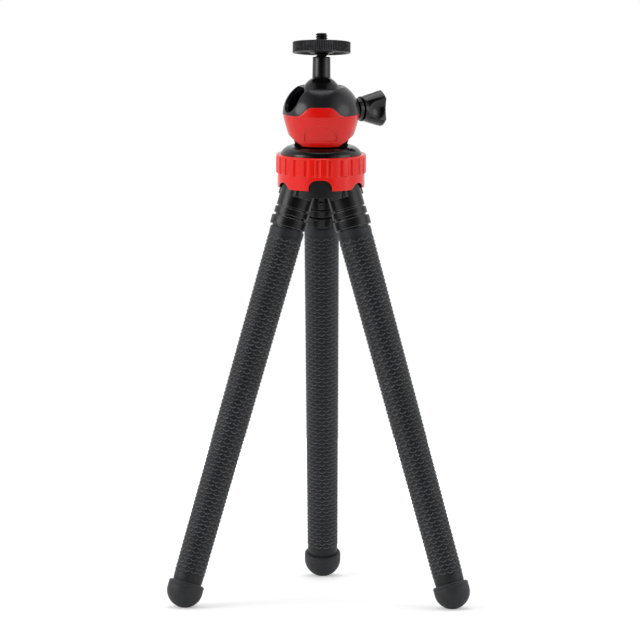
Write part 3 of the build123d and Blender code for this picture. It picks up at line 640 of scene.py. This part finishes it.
def leg_skin(side, azimuth, index):
    """One length of the leg's rubber sleeve, which spans a bend between two bodies of the leg."""
    pivot, down, outwards, across = leg_axes(azimuth)
    start, end = SEAMS[index], SEAMS[index + 1]
    angle = np.arange(SKIN_COLUMNS) * 2 * pi / SKIN_COLUMNS
    rows = np.linspace(start, end, int(round((end - start) / SKIN_ROW)) + 1)
    place, turn = np.meshgrid(rows, angle, indexing="ij")
    relief = scale_relief(place / MM, turn)
    tucked = smoothstep((place - FOOT_START + TUCK_RUN) / TUCK_RUN)
    radius = sleeve_radius(place) + SCALE_PROUD * (1 - tucked) - RELIEF_DEPTH * (1 - relief)
    if index == 0:
        radius = radius - EDGE_DROP * (1 - ramp(place, start, EDGE_RUN))

    # The skin turns inside and comes back up along its bore
    inner = np.linspace(end, start, int((end - start) / BORE_ROW) + 1)
    inner_place, inner_turn = np.meshgrid(inner, angle, indexing="ij")
    place = np.concatenate([place, inner_place])
    turn = np.concatenate([turn, inner_turn])
    radius = np.concatenate([radius, np.full(inner_place.shape, SKIN_BORE)])
    relief = np.concatenate([relief, np.full(inner_place.shape, BORE_RELIEF)])
    points = (np.array(pivot) + place[..., None] * np.array(down)
              + (radius * np.cos(turn))[..., None] * np.array(outwards)
              + (radius * np.sin(turn))[..., None] * np.array(across)).reshape(-1, 3)
    rings = len(rows) + len(inner)
    faces = ring_faces(rings, SKIN_COLUMNS)
    piece = add_piece(f"{side}_skin_{index + 1}", points.tolist(), faces, leg_rubber)
    mesh = piece.data
    # The relief is kept for the leg rubber, which paints shade and highlight from it
    kept = mesh.attributes.new("relief", "FLOAT", "POINT")
    kept.data.foreach_set("value", relief.ravel().astype(np.float32))

    # The rims at both ends are sharp, and all else is smooth
    ends = np.zeros(len(mesh.edges) * 2, np.int32)
    mesh.edges.foreach_get("vertices", ends)
    ring_of = ends.reshape(-1, 2) // SKIN_COLUMNS
    level = ring_of[:, 0] == ring_of[:, 1]
    at_rim = np.isin(ring_of[:, 0], (0, len(rows) - 1, len(rows), rings - 1))
    sharp = mesh.attributes.get("sharp_edge") or mesh.attributes.new("sharp_edge", "BOOLEAN", "EDGE")
    sharp.data.foreach_set("value", level & at_rim)
    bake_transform(piece)
    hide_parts(f"{side}_sleeve_{index + 1}", f"{side}_sleeve_{index + 2}")


# Feet
FOOT_FIT = 0.05 * MM                # clearance in the socket
FOOT_MOUTH = 0.25 * MM              # the socket's wall starts here
FOOT_TOP = 0.1 * MM                 # and the shoulder here
FOOT_SHOULDER = 1.1 * MM
FOOT_SHOULDER_STEPS = 6
FOOT_LINE = ((2.1, 0.0), (2.4, 0.14), (2.7, 0.0))       # the moulding line, as places and depths in mm
FOOT_BULB_START = -0.08             # in radians from the bulb's widest place, negative above it
FOOT_BULB_STEPS = 26
FOOT_COLUMNS = 96
FOOT_SHARP_ANGLE = 40


def foot(side, azimuth):
    """The rubber foot: a bulb with a rounded shoulder and a faint moulding line, worn flat on the floor."""
    pivot, down, outwards, across = leg_axes(azimuth)
    socket = SLEEVE_FOOT_RADIUS + FOOT_FIT
    outline = [(socket, FOOT_SOCKET), (socket, FOOT_MOUTH)]
    for step in range(FOOT_SHOULDER_STEPS + 1):
        turn = pi / 2 * step / FOOT_SHOULDER_STEPS
        radius = FOOT_RADIUS - FOOT_SHOULDER * (1 - sin(turn))
        outline.append((radius, FOOT_TOP + FOOT_SHOULDER * (1 - cos(turn))))
    for place, depth in FOOT_LINE:
        outline.append((FOOT_RADIUS - depth * MM, place * MM))
    ball_place = LEG_LENGTH - FOOT_START
    for step in range(FOOT_BULB_STEPS + 1):
        turn = FOOT_BULB_START + (pi / 2 - FOOT_BULB_START) * step / FOOT_BULB_STEPS
        outline.append((max(FOOT_RADIUS * cos(turn), AXIS_RADIUS * MM), ball_place + FOOT_RADIUS * sin(turn)))
    outline.append((AXIS_RADIUS * MM, FOOT_SOCKET + FOOT_FIT))
    piece = lathe(f"{side}_foot_cap", pivot + down * FOOT_START, down, outwards, outline, foot_rubber,
                  FOOT_COLUMNS, FOOT_SHARP_ANGLE)
    for vertex in piece.data.vertices:
        vertex.co.z = max(vertex.co.z, 0.0)
    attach(piece, f"{side}_leg_4")
    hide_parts(f"{side}_foot")


for side, azimuth in SIDES.items():
    for index in range(BEND_COUNT):
        leg_skin(side, azimuth, index)
    foot(side, azimuth)


# Camera screw and platform pad, in mm up the stem from the ball's centre
PLATFORM_TOP = 28.0
STEM_TOP = 20.0
SCREW_FOOT = 13.5                   # inside the stem
SCREW_TIP = 32.45
SCREW_CHAMFER = 0.7
SCREW_RADIUS = 3.175
SHANK_RADIUS = 3.0                  # below the platform's top, inside the disc's insert
THREAD_ROOT_DEPTH = 0.68
THREAD_PITCH = 1.27
THREAD_CREST = 0.1                  # the flat of the crest, in half turns
THREAD_FLANK = 0.75                 # the slope beside it, in half turns
THREAD_ROWS = 20                    # for each turn of the thread
THREAD_COLUMNS = 64
THREAD_SHARP_ANGLE = 50
PAD_BASE = 27.4
PAD_LIFT = 0.02                     # clearance over the platform
PAD_BORE = 5.15
PAD_RADIUS = 13.9
PAD_INNER_BEVEL = 0.15
PAD_OUTER_BEVEL = (0.3, 0.25)       # across and down
PAD_INNER_BORDER = 0.6              # plain border inside the rings
PAD_OUTER_BORDER = 0.8
PAD_RINGS = 16
PAD_RING_STEPS = 6
PAD_RING_HEIGHT = 0.06              # half the height of a ring
PAD_COLUMNS = 128
PAD_SHARP_ANGLE = 60


def camera_screw():
    """The quarter inch screw, with its thread as a true helix above the stem."""
    plain_end = STEM_TOP - THREAD_PITCH
    step_up = THREAD_PITCH / THREAD_ROWS
    rows = [SCREW_FOOT, plain_end]
    while rows[-1] + step_up < SCREW_TIP:
        rows.append(rows[-1] + step_up)
    rows.append(SCREW_TIP)
    axis, across = STEM_UP, Vector((1, 0, 0))
    side = axis.cross(across)
    points = []
    for row, height in enumerate([rows[0]] + rows + [rows[-1]]):
        crest = SCREW_RADIUS if height > PLATFORM_TOP else SHANK_RADIUS
        for step in range(THREAD_COLUMNS):
            angle = 2 * pi * step / THREAD_COLUMNS
            phase = (height / THREAD_PITCH - angle / (2 * pi)) % 1.0
            depth = min(1.0, max(0.0, (abs(phase - 0.5) * 2 - THREAD_CREST) / THREAD_FLANK))
            radius = crest - THREAD_ROOT_DEPTH * (depth if height > plain_end else 0.0)
            radius = min(radius, crest - max(0.0, height - (SCREW_TIP - SCREW_CHAMFER)))
            if row in (0, len(rows) + 1):
                radius = AXIS_RADIUS
            offset = axis * height + (across * cos(angle) + side * sin(angle)) * radius
            points.append(BALL_CENTRE + offset * MM)
    faces = ring_faces(len(rows) + 2, THREAD_COLUMNS, False)
    piece = add_piece("threaded_screw", points, faces, dark_steel, THREAD_SHARP_ANGLE)
    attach(piece, "stem")
    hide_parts("camera_screw")


def platform_pad():
    """The thin grip pad let into the platform, with fine rings."""
    base, top = PAD_BASE + PAD_LIFT, PLATFORM_TOP
    outline = [(PAD_BORE, base), (PAD_BORE, top - PAD_INNER_BEVEL), (PAD_BORE + PAD_INNER_BEVEL, top)]
    first, last = PAD_BORE + PAD_INNER_BORDER, PAD_RADIUS - PAD_OUTER_BORDER
    steps = PAD_RINGS * PAD_RING_STEPS
    for step in range(steps + 1):
        share = step / steps
        dip = PAD_RING_HEIGHT - PAD_RING_HEIGHT * cos(2 * pi * share * PAD_RINGS)
        outline.append((first + share * (last - first), top - dip))
    bevel_across, bevel_down = PAD_OUTER_BEVEL
    outline += [(PAD_RADIUS - bevel_across, top), (PAD_RADIUS, top - bevel_down), (PAD_RADIUS, base)]
    piece = lathe("platform_pad", BALL_CENTRE, STEM_UP, Vector((1, 0, 0)), in_metres(outline), pad,
                  PAD_COLUMNS, PAD_SHARP_ANGLE)
    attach(piece, "disc")
    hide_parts("disc_pad")


camera_screw()
platform_pad()


# Set screws in the collars
SET_SCREW_PLACE = 12.5 * MM
SET_SCREW_SEAT = 8.9 * MM
# From the dished middle to the rim, as radii and heights in mm
SET_SCREW_OUTLINE = ((AXIS_RADIUS, -0.4), (AXIS_RADIUS, 0.25), (0.7, 0.25), (0.85, 0.75), (1.25, 0.72),
                     (1.55, 0.45), (1.65, 0.1), (1.65, -0.4))
SET_SCREW_COLUMNS = 32
SET_SCREW_SHARP_ANGLE = 40


def set_screw(side, azimuth):
    """The small dished screw that grips the leg's rod, on the inner side of its collar."""
    pivot, down, outwards, across = leg_axes(azimuth)
    seat = pivot + down * SET_SCREW_PLACE - outwards * SET_SCREW_SEAT
    piece = lathe(f"{side}_set_screw", seat, -outwards, down, in_metres(SET_SCREW_OUTLINE), dark_steel,
                  SET_SCREW_COLUMNS, SET_SCREW_SHARP_ANGLE)
    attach(piece, f"{side}_leg")


for side, azimuth in SIDES.items():
    set_screw(side, azimuth)
